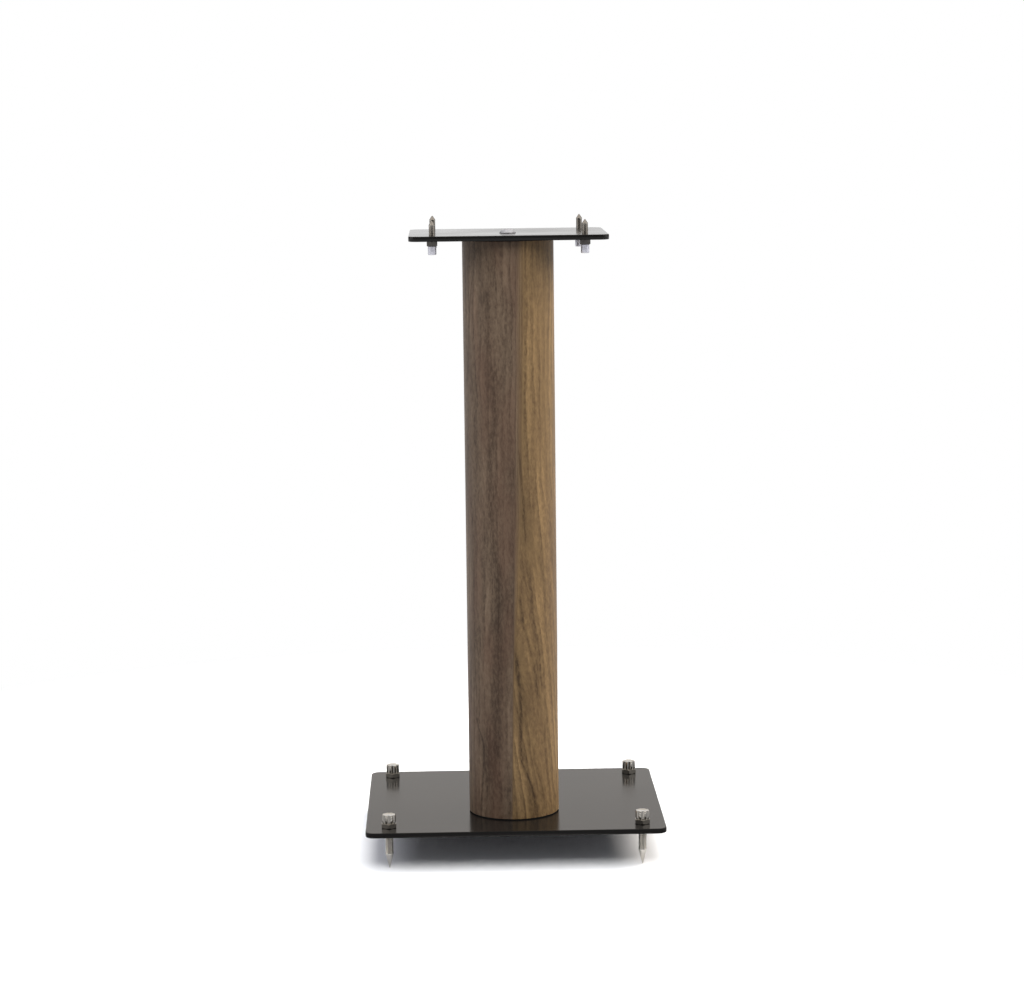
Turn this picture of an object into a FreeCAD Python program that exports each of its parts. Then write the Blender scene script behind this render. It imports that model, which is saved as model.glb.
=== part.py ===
import FreeCAD, Part
import math
import os

import Sketcher
from FreeCAD import Vector

# Speaker stand: a steel base plate on four adjustable floor spikes, a veneered round column,
# and a steel top plate with four adjustable spikes that carry the loudspeaker.
# Millimetres. The origin is on the floor, under the middle of the base plate. +X is to the
# right, and -Y is the front, the side that the column stands nearer to.

sizes = {
    # plates
    "baseWidth": 290,
    "baseDepth": 250,
    "baseThick": 5,
    "baseCorner": 9,
    "topWidth": 190,
    "topDepth": 150,
    "topThick": 5,
    "topCorner": 9,
    "plateEase": 0.8,
    "floorGap": 35,
    # column, with its axis ahead of the base's middle and the top plate set back from the axis
    "columnWide": 88,
    "columnTall": 561,
    "columnForward": 40,
    "topBack": 20,
    "veneerThick": 0.6,
    "coreWall": 15,
    "glueLine": 0.05,
    "gasketThick": 1,
    "gasketInset": 1,
    "blockTall": 36,
    # play of a thread in its nut, and of a bolt in its clearance hole, both on the radius, and
    # what is left between a spike's plain shank and its plate at the end of the spike's travel
    "threadClear": 0.05,
    "boltClear": 0.2,
    "travelSpare": 0.5,
    # top bolt, M8 with a button head, and its threaded insert
    "topBoltWide": 8,
    "topBoltReach": 15,
    "topHeadWide": 16,
    "topHeadTall": 4,
    "topHeadRim": 1,
    "topHeadFlat": 8,
    "topKey": 5,
    "topKeyDeep": 2.4,
    "topInsertWide": 12,
    "topInsertTall": 18,
    # foot screws, M6 countersunk at 90 degrees, and their threaded inserts, with the wood left
    # outside each insert and the room beyond each screw's end
    "footScrewWide": 6,
    "footScrewReach": 14,
    "footHeadWide": 12,
    "footKey": 4,
    "footKeyDeep": 2,
    "footInsertWide": 9,
    "footInsertEdge": 4.8,
    "footInsertSpare": 2,
    # floor spikes: a plain shank, then an M8 thread drawn at its pitch diameter, with a fluted
    # head and a lock nut above the base plate
    "floorInsetSide": 22.5,
    "floorInsetEnd": 22.5,
    "floorRodWide": 8,
    "floorThreadWide": 7.2,
    "floorTravel": 10,
    "floorConeTall": 14,
    "floorTipWide": 0.8,
    "floorNutAcross": 14,
    "floorNutTall": 5,
    "floorNutBevel": 0.9,
    "floorHeadWide": 13.5,
    "floorHeadTall": 8,
    "floorHeadBevel": 0.8,
    "floorHeadGrip": 5,
    "fluteRadius": 2,
    "fluteDeep": 1.1,
    # speaker spikes, points up: a plain shank over an M6 thread drawn at its pitch diameter,
    # with a lock nut and a small head under the top plate
    "pointInsetSide": 22.5,
    "pointInsetEnd": 16,
    "pointRodWide": 6,
    "pointThreadWide": 5.4,
    "pointTravel": 6,
    "pointRise": 14,
    "pointConeTall": 4,
    "pointTipWide": 0.8,
    "pointNutAcross": 10,
    "pointNutTall": 5,
    "pointNutBevel": 0.7,
    "pointHeadWide": 8,
    "pointHeadTall": 8,
    "pointHeadBevel": 0.5,
    "pointHeadGrip": 4,
    "pointKey": 4,
    "pointKeyDeep": 2.5,
}

fluteCount = 8
hexSides = 6
quarterCorners = {
    "front_left": (-1, -1),
    "front_right": (1, -1),
    "rear_left": (-1, 1),
    "rear_right": (1, 1),
}

# heights above the floor that several pieces share
baseTopZ = "{floorGap} + {baseThick}"
columnFootZ = baseTopZ + " + {gasketThick}"
columnHeadZ = columnFootZ + " + {columnTall}"
topUnderZ = columnHeadZ + " + {gasketThick}"
# places along Y, and radii that the column's layers share
columnY = "-{columnForward}"
topY = "{topBack} - {columnForward}"
coreOuter = "{columnWide} / 2 - {veneerThick} - {glueLine}"
coreInner = coreOuter + " - {coreWall}"
blockRadius = coreInner + " - {glueLine}"
footScrewRing = blockRadius + " - {footInsertEdge} - {footInsertWide} / 2"
footScrewSide = "(" + footScrewRing + ") * cos(45 deg)"
footInsertTall = "{footScrewReach} + {footInsertSpare}"
hexCorner = " / 2 / cos(30 deg)"

originPoint = (-1, 1)
levelAxis = -1
uprightAxis = -2

doc = FreeCAD.newDocument("SpeakerStand")
sheet = doc.addObject("Spreadsheet::Sheet", "Sizes")
cells = {}
for row, (alias, value) in enumerate(sizes.items(), start=1):
    sheet.set("A%d" % row, alias)
    sheet.set("B%d" % row, str(value))
    sheet.setAlias("B%d" % row, alias)
    cells[alias] = "Sizes." + alias
doc.recompute()

subParts = []


def bindTo(item, prop, text):
    """Drive a property by a formula in which {name} stands for one of the sizes."""
    item.setExpression(prop, text.format_map(cells))


def place(part, label, x=None, y=None, z=None):
    """Name a finished sub-part and drive its place by formulas."""
    part.Label = label
    for axis, text in (("x", x), ("y", y), ("z", z)):
        if text is not None:
            bindTo(part, "Placement.Base." + axis, text)
    subParts.append(part)
    return part


def newBody(label):
    return doc.addObject("PartDesign::Body", "Body_" + label)


def newSketch(body, name, role):
    """A sketch on one of the body's own origin planes."""
    sketch = body.newObject("Sketcher::SketchObject", name)
    plane = [item for item in body.Origin.OriginFeatures if item.Role == role][0]
    sketch.AttachmentSupport = (plane, [""])
    sketch.MapMode = "FlatFace"
    return sketch


def dimension(sketch, constraint, text):
    """Add a dimension that a formula drives."""
    number = sketch.addConstraint(constraint)
    bindTo(sketch, "Constraints[%d]" % number, text)


def drawRectangle(sketch, widthText, depthText):
    """A rectangle about the sketch's origin."""
    spots = [Vector(-10, -10), Vector(10, -10), Vector(10, 10), Vector(-10, 10)]
    for start, end in zip(spots, spots[1:] + spots[:1]):
        sketch.addGeometry(Part.LineSegment(start, end))
    for side in range(4):
        sketch.addConstraint(Sketcher.Constraint("Coincident", side, 2, (side + 1) % 4, 1))
    for side, direction in enumerate(("Horizontal", "Vertical", "Horizontal", "Vertical")):
        sketch.addConstraint(Sketcher.Constraint(direction, side))
    sketch.addConstraint(Sketcher.Constraint("Symmetric", 0, 1, 1, 2, *originPoint))
    dimension(sketch, Sketcher.Constraint("DistanceX", 0, 1, 0, 2, 20), widthText)
    dimension(sketch, Sketcher.Constraint("DistanceY", 1, 1, 1, 2, 20), depthText)


def drawCircle(sketch, radiusText, sideX=0, xText=None, sideY=0, yText=None):
    """A circle, its centre on each axis or at a driven distance to one side of it."""
    middle = Vector(10 * sideX, 10 * sideY)
    number = sketch.addGeometry(Part.Circle(middle, Vector(0, 0, 1), 1))
    dimension(sketch, Sketcher.Constraint("Radius", number, 1), radiusText)
    places = ((sideX, xText, "DistanceX", uprightAxis), (sideY, yText, "DistanceY", levelAxis))
    for side, text, kind, axis in places:
        if side == 0:
            sketch.addConstraint(Sketcher.Constraint("PointOnObject", number, 3, axis))
        elif side > 0:
            dimension(sketch, Sketcher.Constraint(kind, *originPoint, number, 3, 10), text)
        else:
            dimension(sketch, Sketcher.Constraint(kind, number, 3, *originPoint, 10), text)


def pocket(body, sketch, name, depthText=None):
    """Cut a sketch right through the body, or up from its own plane to a depth."""
    before = body.Shape.Volume
    cut = body.newObject("PartDesign::Pocket", name)
    cut.Profile = sketch
    if depthText is None:
        cut.Type = "ThroughAll"
        cut.Midplane = True
    else:
        cut.Reversed = True
        bindTo(cut, "Length", depthText)
    doc.recompute()
    if body.Shape.Volume > before - 1e-3:
        raise ValueError(name + " cuts nothing")
    return cut


def turned(label, profile):
    """A body turned about Z from a closed profile of (radius, height) formulas, None for zero."""
    body = newBody(label)
    sketch = newSketch(body, "Profile_" + label, "XZ_Plane")
    count = len(profile)
    guesses = []
    for number in range(count):
        angle = 2 * math.pi * number / count
        guesses.append(Vector(20 + 10 * math.cos(angle), 20 + 10 * math.sin(angle)))
    for number in range(count):
        sketch.addGeometry(Part.LineSegment(guesses[number], guesses[(number + 1) % count]))
    for number in range(count):
        sketch.addConstraint(Sketcher.Constraint("Coincident", number, 2, (number + 1) % count, 1))
    for number, texts in enumerate(profile):
        kinds = (("DistanceX", uprightAxis), ("DistanceY", levelAxis))
        for text, (kind, axis) in zip(texts, kinds):
            if text is None:
                sketch.addConstraint(Sketcher.Constraint("PointOnObject", number, 1, axis))
            else:
                constraint = Sketcher.Constraint(kind, *originPoint, number, 1, 20)
                dimension(sketch, constraint, text)
    turn = body.newObject("PartDesign::Revolution", "Turn_" + label)
    turn.Profile = sketch
    turn.ReferenceAxis = (sketch, ["V_Axis"])
    turn.Angle = 360
    doc.recompute()
    return body


def edgeNames(shape, upright):
    """Names of the shape's upright edges, or of its level ones."""
    names = []
    for number, edge in enumerate(shape.Edges, start=1):
        isUpright = edge.BoundBox.ZLength > 1e-6
        if isUpright == upright:
            names.append("Edge%d" % number)
    return names


def plate(label, widthText, depthText, thickText, cornerText):
    """A plate on its own XY plane, with rounded corners and eased rims."""
    body = newBody(label)
    sketch = newSketch(body, "Outline_" + label, "XY_Plane")
    drawRectangle(sketch, widthText, depthText)
    slab = body.newObject("PartDesign::Pad", "Slab_" + label)
    slab.Profile = sketch
    bindTo(slab, "Length", thickText)
    doc.recompute()
    rounding = body.newObject("PartDesign::Fillet", "Corners_" + label)
    rounding.Base = (slab, edgeNames(slab.Shape, upright=True))
    bindTo(rounding, "Radius", cornerText)
    doc.recompute()
    easing = body.newObject("PartDesign::Fillet", "Rims_" + label)
    easing.Base = (rounding, edgeNames(rounding.Shape, upright=False))
    bindTo(easing, "Radius", "{plateEase}")
    doc.recompute()
    return body


def spikeHoles(body, label, radiusText, xText, yText):
    """Four holes through a plate, one near each corner."""
    sketch = newSketch(body, "Holes_" + label, "XY_Plane")
    for sideX, sideY in quarterCorners.values():
        drawCircle(sketch, radiusText, sideX, xText, sideY, yText)
    doc.recompute()
    pocket(body, sketch, "Drill_" + label)


def hexagon(label, acrossText, tallText):
    """A hexagonal prism standing on its own XY plane."""
    prism = doc.addObject("Part::Prism", "Hex_" + label)
    prism.Polygon = hexSides
    bindTo(prism, "Circumradius", acrossText + hexCorner)
    bindTo(prism, "Height", tallText)
    return prism


def joined(kind, label, base, tool):
    """A boolean of two pieces that share one local frame."""
    result = doc.addObject("Part::" + kind, kind + "_" + label)
    result.Base = base
    result.Tool = tool
    doc.recompute()
    return result


def hexNut(label, acrossText, tallText, bevelText, boreText):
    """A hexagon nut with both faces bevelled and its bore countersunk at both ends."""
    cornerRadius = acrossText + hexCorner
    flatRadius = cornerRadius + " - " + bevelText + " / tan(30 deg)"
    mouthRadius = boreText + " + " + bevelText + " / 2"
    blank = turned("blank_" + label, [
        (mouthRadius, None),
        (flatRadius, None),
        (cornerRadius, bevelText),
        (cornerRadius, tallText + " - " + bevelText),
        (flatRadius, tallText),
        (mouthRadius, tallText),
        (boreText, tallText + " - " + bevelText + " / 2"),
        (boreText, bevelText + " / 2"),
    ])
    return joined("Common", label, hexagon(label, acrossText, tallText), blank)


# --- plates ---

basePlate = plate("base_plate", "{baseWidth}", "{baseDepth}", "{baseThick}", "{baseCorner}")
floorSpikeX = "{baseWidth} / 2 - {floorInsetSide}"
floorSpikeY = "{baseDepth} / 2 - {floorInsetEnd}"
floorBore = "{floorThreadWide} / 2 + {threadClear}"
spikeHoles(basePlate, "base_plate", floorBore, floorSpikeX, floorSpikeY)

# four countersunk holes from the underside, round the column's axis
footSketch = newSketch(basePlate, "FootHoles", "XY_Plane")
bindTo(footSketch, "AttachmentOffset.Base.y", columnY)
for sideX, sideY in quarterCorners.values():
    drawCircle(footSketch, "{footScrewWide} / 2", sideX, footScrewSide, sideY, footScrewSide)
doc.recompute()
solidBefore = basePlate.Shape.Volume
footHoles = basePlate.newObject("PartDesign::Hole", "FootCountersinks")
footHoles.Profile = footSketch
footHoles.Reversed = True
footHoles.DepthType = "ThroughAll"
footHoles.ThreadType = "None"
footHoles.HoleCutType = "Countersink"
footHoles.HoleCutCountersinkAngle = 90
bindTo(footHoles, "Diameter", "{footScrewWide} + 2 * {boltClear}")
bindTo(footHoles, "HoleCutDiameter", "{footHeadWide} + 2 * {threadClear}")
doc.recompute()
if basePlate.Shape.Volume > solidBefore - 1e-3:
    raise ValueError("the foot countersinks cut nothing")
place(basePlate, "base_plate", z="{floorGap}")

topPlate = plate("top_plate", "{topWidth}", "{topDepth}", "{topThick}", "{topCorner}")
pointX = "{topWidth} / 2 - {pointInsetSide}"
pointY = "{topDepth} / 2 - {pointInsetEnd}"
pointBore = "{pointThreadWide} / 2 + {threadClear}"
spikeHoles(topPlate, "top_plate", pointBore, pointX, pointY)
boltSketch = newSketch(topPlate, "BoltHole", "XY_Plane")
bindTo(boltSketch, "AttachmentOffset.Base.y", "-{topBack}")
drawCircle(boltSketch, "{topBoltWide} / 2 + {boltClear}")
doc.recompute()
pocket(topPlate, boltSketch, "DrillBolt")
place(topPlate, "top_plate", y=topY, z=topUnderZ)

# --- column ---

core = turned("column_core", [
    (coreInner, None),
    (coreOuter, None),
    (coreOuter, "{columnTall}"),
    (coreInner, "{columnTall}"),
])
place(core, "column_core", y=columnY, z=columnFootZ)

veneer = turned("column_veneer", [
    ("{columnWide} / 2 - {veneerThick}", None),
    ("{columnWide} / 2", None),
    ("{columnWide} / 2", "{columnTall}"),
    ("{columnWide} / 2 - {veneerThick}", "{columnTall}"),
])
place(veneer, "column_veneer", y=columnY, z=columnFootZ)

gasketOuter = "{columnWide} / 2 - {gasketInset}"
for label, heightText in (("foot_gasket", baseTopZ), ("head_gasket", columnHeadZ)):
    gasket = turned(label, [
        (coreInner, None),
        (gasketOuter, None),
        (gasketOuter, "{gasketThick}"),
        (coreInner, "{gasketThick}"),
    ])
    place(gasket, label, y=columnY, z=heightText)

footBlock = turned("foot_block", [
    (None, None),
    (blockRadius, None),
    (blockRadius, "{blockTall}"),
    (None, "{blockTall}"),
])
insertSketch = newSketch(footBlock, "InsertBores", "XY_Plane")
for sideX, sideY in quarterCorners.values():
    drawCircle(insertSketch, "{footInsertWide} / 2 + {glueLine}",
               sideX, footScrewSide, sideY, footScrewSide)
doc.recompute()
pocket(footBlock, insertSketch, "BoreInserts", footInsertTall)
place(footBlock, "foot_block", y=columnY, z=columnFootZ)

headBlockBore = "{topInsertWide} / 2 + {glueLine}"
headBlock = turned("head_block", [
    (headBlockBore, None),
    (blockRadius, None),
    (blockRadius, "{blockTall}"),
    (headBlockBore, "{blockTall}"),
])
place(headBlock, "head_block", y=columnY, z=columnHeadZ + " - {blockTall}")

# --- bolt and screws that hold the plates to the column ---

insertBore = "{topBoltWide} / 2 + {threadClear}"
headInsert = turned("head_insert", [
    (insertBore, None),
    ("{topInsertWide} / 2", None),
    ("{topInsertWide} / 2", "{topInsertTall}"),
    (insertBore, "{topInsertTall}"),
])
place(headInsert, "head_insert", y=columnY, z=columnHeadZ + " - {topInsertTall}")

shankTall = "{topBoltReach} + {gasketThick} + {topThick}"
boltBlank = turned("top_bolt", [
    (None, None),
    ("{topBoltWide} / 2", None),
    ("{topBoltWide} / 2", shankTall),
    ("{topHeadWide} / 2", shankTall),
    ("{topHeadWide} / 2", shankTall + " + {topHeadRim}"),
    ("{topHeadFlat} / 2", shankTall + " + {topHeadTall}"),
    (None, shankTall + " + {topHeadTall}"),
])
boltKey = hexagon("top_bolt_key", "{topKey}", "{topKeyDeep}")
bindTo(boltKey, "Placement.Base.z", shankTall + " + {topHeadTall} - {topKeyDeep}")
topBolt = joined("Cut", "top_bolt", boltBlank, boltKey)
place(topBolt, "top_bolt", y=columnY, z=columnHeadZ + " - {topBoltReach}")

screwHeadTall = "({footHeadWide} - {footScrewWide}) / 2"
screwTall = "{baseThick} + {gasketThick} + {footScrewReach}"
for corner, (sideX, sideY) in quarterCorners.items():
    x = "%d * %s" % (sideX, footScrewSide)
    y = "%d * %s - {columnForward}" % (sideY, footScrewSide)
    label = "foot_screw_" + corner
    blank = turned(label, [
        (None, None),
        ("{footHeadWide} / 2", None),
        ("{footScrewWide} / 2", screwHeadTall),
        ("{footScrewWide} / 2", screwTall),
        (None, screwTall),
    ])
    screw = joined("Cut", label, blank, hexagon(label, "{footKey}", "{footKeyDeep}"))
    place(screw, label, x, y, "{floorGap}")
    label = "foot_insert_" + corner
    insert = turned(label, [
        ("{footScrewWide} / 2 + {threadClear}", None),
        ("{footInsertWide} / 2", None),
        ("{footInsertWide} / 2", footInsertTall),
        ("{footScrewWide} / 2 + {threadClear}", footInsertTall),
    ])
    place(insert, label, x, y, columnFootZ)

# --- floor spikes: rod, lock nut and fluted head at each corner of the base plate ---

floorShankTop = "{floorGap} - {floorTravel} - {travelSpare}"
floorRodTop = baseTopZ + " + {floorNutTall} + {floorHeadGrip}"
fluteMiddle = "{floorHeadWide} / 2 + {fluteRadius} - {fluteDeep}"
for corner, (sideX, sideY) in quarterCorners.items():
    x = "%d * (%s)" % (sideX, floorSpikeX)
    y = "%d * (%s)" % (sideY, floorSpikeY)
    label = "floor_spike_" + corner
    rod = turned(label, [
        (None, None),
        ("{floorTipWide} / 2", None),
        ("{floorRodWide} / 2", "{floorConeTall}"),
        ("{floorRodWide} / 2", floorShankTop),
        ("{floorThreadWide} / 2", floorShankTop),
        ("{floorThreadWide} / 2", floorRodTop),
        (None, floorRodTop),
    ])
    place(rod, label, x, y)
    label = "floor_nut_" + corner
    nut = hexNut(label, "{floorNutAcross}", "{floorNutTall}", "{floorNutBevel}", floorBore)
    place(nut, label, x, y, baseTopZ)
    label = "floor_head_" + corner
    head = turned(label, [
        (floorBore, None),
        ("{floorHeadWide} / 2", None),
        ("{floorHeadWide} / 2", "{floorHeadTall} - {floorHeadBevel}"),
        ("{floorHeadWide} / 2 - {floorHeadBevel}", "{floorHeadTall}"),
        (None, "{floorHeadTall}"),
        (None, "{floorHeadGrip}"),
        (floorBore, "{floorHeadGrip}"),
    ])
    fluteSketch = newSketch(head, "Flute_" + label, "XY_Plane")
    drawCircle(fluteSketch, "{fluteRadius}", 1, fluteMiddle)
    doc.recompute()
    flute = pocket(head, fluteSketch, "CutFlute_" + label)
    oneFlute = head.Shape.Volume
    ring = head.newObject("PartDesign::PolarPattern", "Flutes_" + label)
    ring.Originals = [flute]
    ring.Axis = (fluteSketch, ["N_Axis"])
    ring.Angle = 360
    ring.Occurrences = fluteCount
    head.Tip = ring
    doc.recompute()
    if head.Shape.Volume > oneFlute - 1:
        raise ValueError("the flutes of " + label + " weren't repeated")
    place(head, label, x, y, baseTopZ + " + {floorNutTall}")

# --- speaker spikes: rod, lock nut and key head at each corner of the top plate ---

pointPlateTop = "{pointHeadGrip} + {pointNutTall} + {topThick}"
pointShankFoot = pointPlateTop + " + {pointTravel} + {travelSpare}"
pointRodTall = pointPlateTop + " + {pointRise}"
for corner, (sideX, sideY) in quarterCorners.items():
    x = "%d * (%s)" % (sideX, pointX)
    y = "%d * (%s) + %s" % (sideY, pointY, topY)
    label = "speaker_spike_" + corner
    rod = turned(label, [
        (None, None),
        ("{pointThreadWide} / 2", None),
        ("{pointThreadWide} / 2", pointShankFoot),
        ("{pointRodWide} / 2", pointShankFoot),
        ("{pointRodWide} / 2", pointRodTall + " - {pointConeTall}"),
        ("{pointTipWide} / 2", pointRodTall),
        (None, pointRodTall),
    ])
    place(rod, label, x, y, topUnderZ + " - {pointNutTall} - {pointHeadGrip}")
    label = "speaker_nut_" + corner
    nut = hexNut(label, "{pointNutAcross}", "{pointNutTall}", "{pointNutBevel}", pointBore)
    place(nut, label, x, y, topUnderZ + " - {pointNutTall}")
    label = "speaker_head_" + corner
    blank = turned(label, [
        (None, None),
        ("{pointHeadWide} / 2 - {pointHeadBevel}", None),
        ("{pointHeadWide} / 2", "{pointHeadBevel}"),
        ("{pointHeadWide} / 2", "{pointHeadTall}"),
        (pointBore, "{pointHeadTall}"),
        (pointBore, "{pointHeadTall} - {pointHeadGrip}"),
        (None, "{pointHeadTall} - {pointHeadGrip}"),
    ])
    head = joined("Cut", label, blank, hexagon(label, "{pointKey}", "{pointKeyDeep}"))
    place(head, label, x, y, topUnderZ + " - {pointNutTall} - {pointHeadTall}")

# --- check every object, then write the sub-parts ---

doc.recompute()
for item in doc.Objects:
    if "Invalid" in item.State or "Error" in item.State:
        raise ValueError(item.Label + " failed: " + ", ".join(item.State))
os.makedirs("parts", exist_ok=True)
for part in subParts:
    shape = part.Shape
    if shape.isNull() or not shape.isValid() or len(shape.Solids) != 1:
        raise ValueError(part.Label + " is not one valid solid")
for part in subParts:
    part.Shape.exportStep("parts/%s.step" % part.Label)
    box = part.Shape.BoundBox
    print("%-28s %8.2f %8.2f %8.2f  z %.2f to %.2f" % (
        part.Label, box.XLength, box.YLength, box.ZLength, box.ZMin, box.ZMax))
print(len(subParts), "sub-parts")
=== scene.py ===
import math

import bmesh
import bpy
from mathutils import Matrix, Vector


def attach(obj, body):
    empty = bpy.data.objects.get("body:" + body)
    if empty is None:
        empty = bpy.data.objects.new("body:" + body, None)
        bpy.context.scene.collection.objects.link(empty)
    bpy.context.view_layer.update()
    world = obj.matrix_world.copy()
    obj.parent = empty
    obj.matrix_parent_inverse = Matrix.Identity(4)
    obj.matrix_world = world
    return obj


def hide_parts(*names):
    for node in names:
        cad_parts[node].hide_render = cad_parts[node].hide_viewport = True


# Speaker stand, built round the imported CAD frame. Metres, Z up, the front is -Y.

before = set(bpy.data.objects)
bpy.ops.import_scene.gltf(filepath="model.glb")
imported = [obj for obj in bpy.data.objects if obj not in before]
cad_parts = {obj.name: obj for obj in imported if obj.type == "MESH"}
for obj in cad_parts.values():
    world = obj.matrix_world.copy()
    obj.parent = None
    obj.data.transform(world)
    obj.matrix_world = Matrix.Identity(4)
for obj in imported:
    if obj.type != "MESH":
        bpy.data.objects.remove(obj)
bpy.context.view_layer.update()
mm = 0.001
corners = {"front_left": (-1, -1), "front_right": (1, -1), "rear_left": (-1, 1), "rear_right": (1, 1)}
print("frame loaded:", len(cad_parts), "nodes")


def linear(hexText):
    # sRGB hex to the linear colour that a socket takes
    out = []
    for at in (1, 3, 5):
        share = int(hexText[at:at + 2], 16) / 255
        out.append(share / 12.92 if share <= 0.04045 else ((share + 0.055) / 1.055) ** 2.4)
    return (*out, 1.0)


def addNode(tree, kind, links=(), out=0, **settings):
    # adds a node with its settings and its inputs, by name or in order, and gives back an output
    node = tree.nodes.new(kind)
    for name, value in settings.items():
        setattr(node, name, value)
    pairs = links.items() if isinstance(links, dict) else enumerate(links)
    for socket, source in pairs:
        if isinstance(source, bpy.types.NodeSocket):
            tree.links.new(source, node.inputs[socket])
        else:
            node.inputs[socket].default_value = source
    return node.outputs[out] if len(node.outputs) else None


def newMaterial(name):
    material = bpy.data.materials.new(name)
    material.use_nodes = True
    material.node_tree.nodes.clear()
    return material, material.node_tree


def finishMaterial(tree, links):
    # links: the sockets of the principled shader
    shader = addNode(tree, "ShaderNodeBsdfPrincipled", links)
    addNode(tree, "ShaderNodeOutputMaterial", {"Surface": shader})


# Walnut veneer: sliced, glued round the tube with its grain upright, sanded and sprayed with a
# satin lacquer. The eye gets long soft figure, dark growth lines and short open pores.
veneerLook = {
    "jointTop": 7.0, "jointFoot": -3.0,  # mm round the column from its front line to the leaf joint
    # noise: width and height in mm, seed and detail; those after the broad one follow the waver.
    # Real pores are 0.2 mm wide, drawn wider to show.
    "layers": {"sway": (26.0, 120.0, 1.7, 1.0), "kink": (9.0, 30.0, 5.3, 2.0),
               "broad": (24.0, 140.0, 8.8, 1.0), "figure": (10.0, 90.0, 3.1, 3.0),
               "grain": (2.0, 20.0, 6.2, 3.0), "fleck": (1.9, 5.0, 9.4, 2.0),
               "pores": (0.7, 4.0, 2.4, 1.0)},
    "waver": {"sway": 11.0, "kink": 2.6},  # mm that the grain swings to each side
    "ringWide": 8.0, "ringStrength": 0.55, "ringFaint": 0.12, "ringBend": 1.2,
    "tonePart": {"grain": 0.22, "figure": 0.55, "broad": 0.62, "fleck": 0.46},
    "toneFrom": 0.67, "toneTo": 1.19, "redMost": 0.4,
    "leftDark": "#413328", "leftLight": "#816e5a", "leftRed": "#644a3b",
    "rightDark": "#574430", "rightLight": "#9c7f57", "rightRed": "#755f40",
    "lineColour": "#2a1d15", "lineWaver": 0.022, "lineFade": 25,
    "joint": 0.3, "jointWide": 1.2,  # how dark the joint is, and its half width in mm
    "poreFrom": 0.58, "poreTo": 0.76, "poreDark": 0.3,
    "roughness": 0.5, "gloss": 0.3, "relief": 0.25, "reliefDeep": 0.06,
    # the right leaf darkens towards the joint, over the second width above the second height
    "blendUp": (140.0, 320.0), "blendWide": (0.9, 9.0), "blendBefore": -0.7,
    "leanBelow": 330.0, "lean": 0.13,  # the right leaf's grain leans over below this height
}
columnTall = 561.0  # mm
curveSpan = 100.0  # mm round the column that the lines' curves cover
# growth lines: half width, strength, and the path as heights above the foot and places round the
# column from its front line, all in mm but the strength
growthLines = [
    (2.6, 0.60, [(560, -33), (530, -39), (490, -46), (440, -50), (415, -52)]),
    (8.5, 0.62, [(500, -22), (470, -22), (435, -18), (390, -16), (345, -21), (300, -21), (275, -19),
                 (235, -15), (190, -14), (90, -16), (45, -16)]),
    (2.6, 0.72, [(475, -22), (435, -17), (390, -15), (345, -22), (320, -18), (305, -21), (275, -19),
                 (235, -14), (190, -14), (90, -16), (55, -16)]),
    (10.0, 0.55, [(530, -23), (485, -22), (435, -21), (390, -17)]),
    (8.0, 0.55, [(255, -15), (165, -18), (125, -19), (45, -16)]),
    (2.6, 0.5, [(265, -43), (165, -45), (125, -43), (95, -43)]),
    (3.0, 0.75, [(120, -43), (95, -42), (70, -33), (55, -33), (30, -35), (-20, -39)]),
    (2.8, 0.66, [(375, 6), (340, 9), (295, 12), (260, 13)]),
    (3.2, 0.56, [(265, 14), (215, 19), (200, 20), (165, 27), (145, 28), (110, 32)]),
    (3.2, 0.60, [(240, 6), (200, 9), (170, 16), (145, 21), (100, 26)]),
    (3.2, 0.50, [(275, 27), (255, 28), (230, 34), (195, 35), (130, 44)]),
    (4.0, 0.80, [(180, 0), (135, 5), (100, 7), (75, 6), (55, 8), (45, 12), (15, 20), (-20, 25)]),
    (3.2, 0.56, [(85, 18), (55, 21), (30, 28), (0, 33)]),
    (3.0, 0.50, [(105, 33), (60, 34), (30, 38), (0, 42)]),
    (6.0, 0.35, [(390, 22), (330, 22), (270, 22)]),
    (1.6, 0.38, [(550, 19), (530, 23), (495, 29)]),
    (1.4, 0.36, [(560, 36), (505, 38), (415, 37)]),
    (1.4, 0.34, [(470, 23), (430, 21), (395, 19)]),
    (3.4, 0.42, [(530, -3), (445, -5), (390, -6)]),
]


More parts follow.
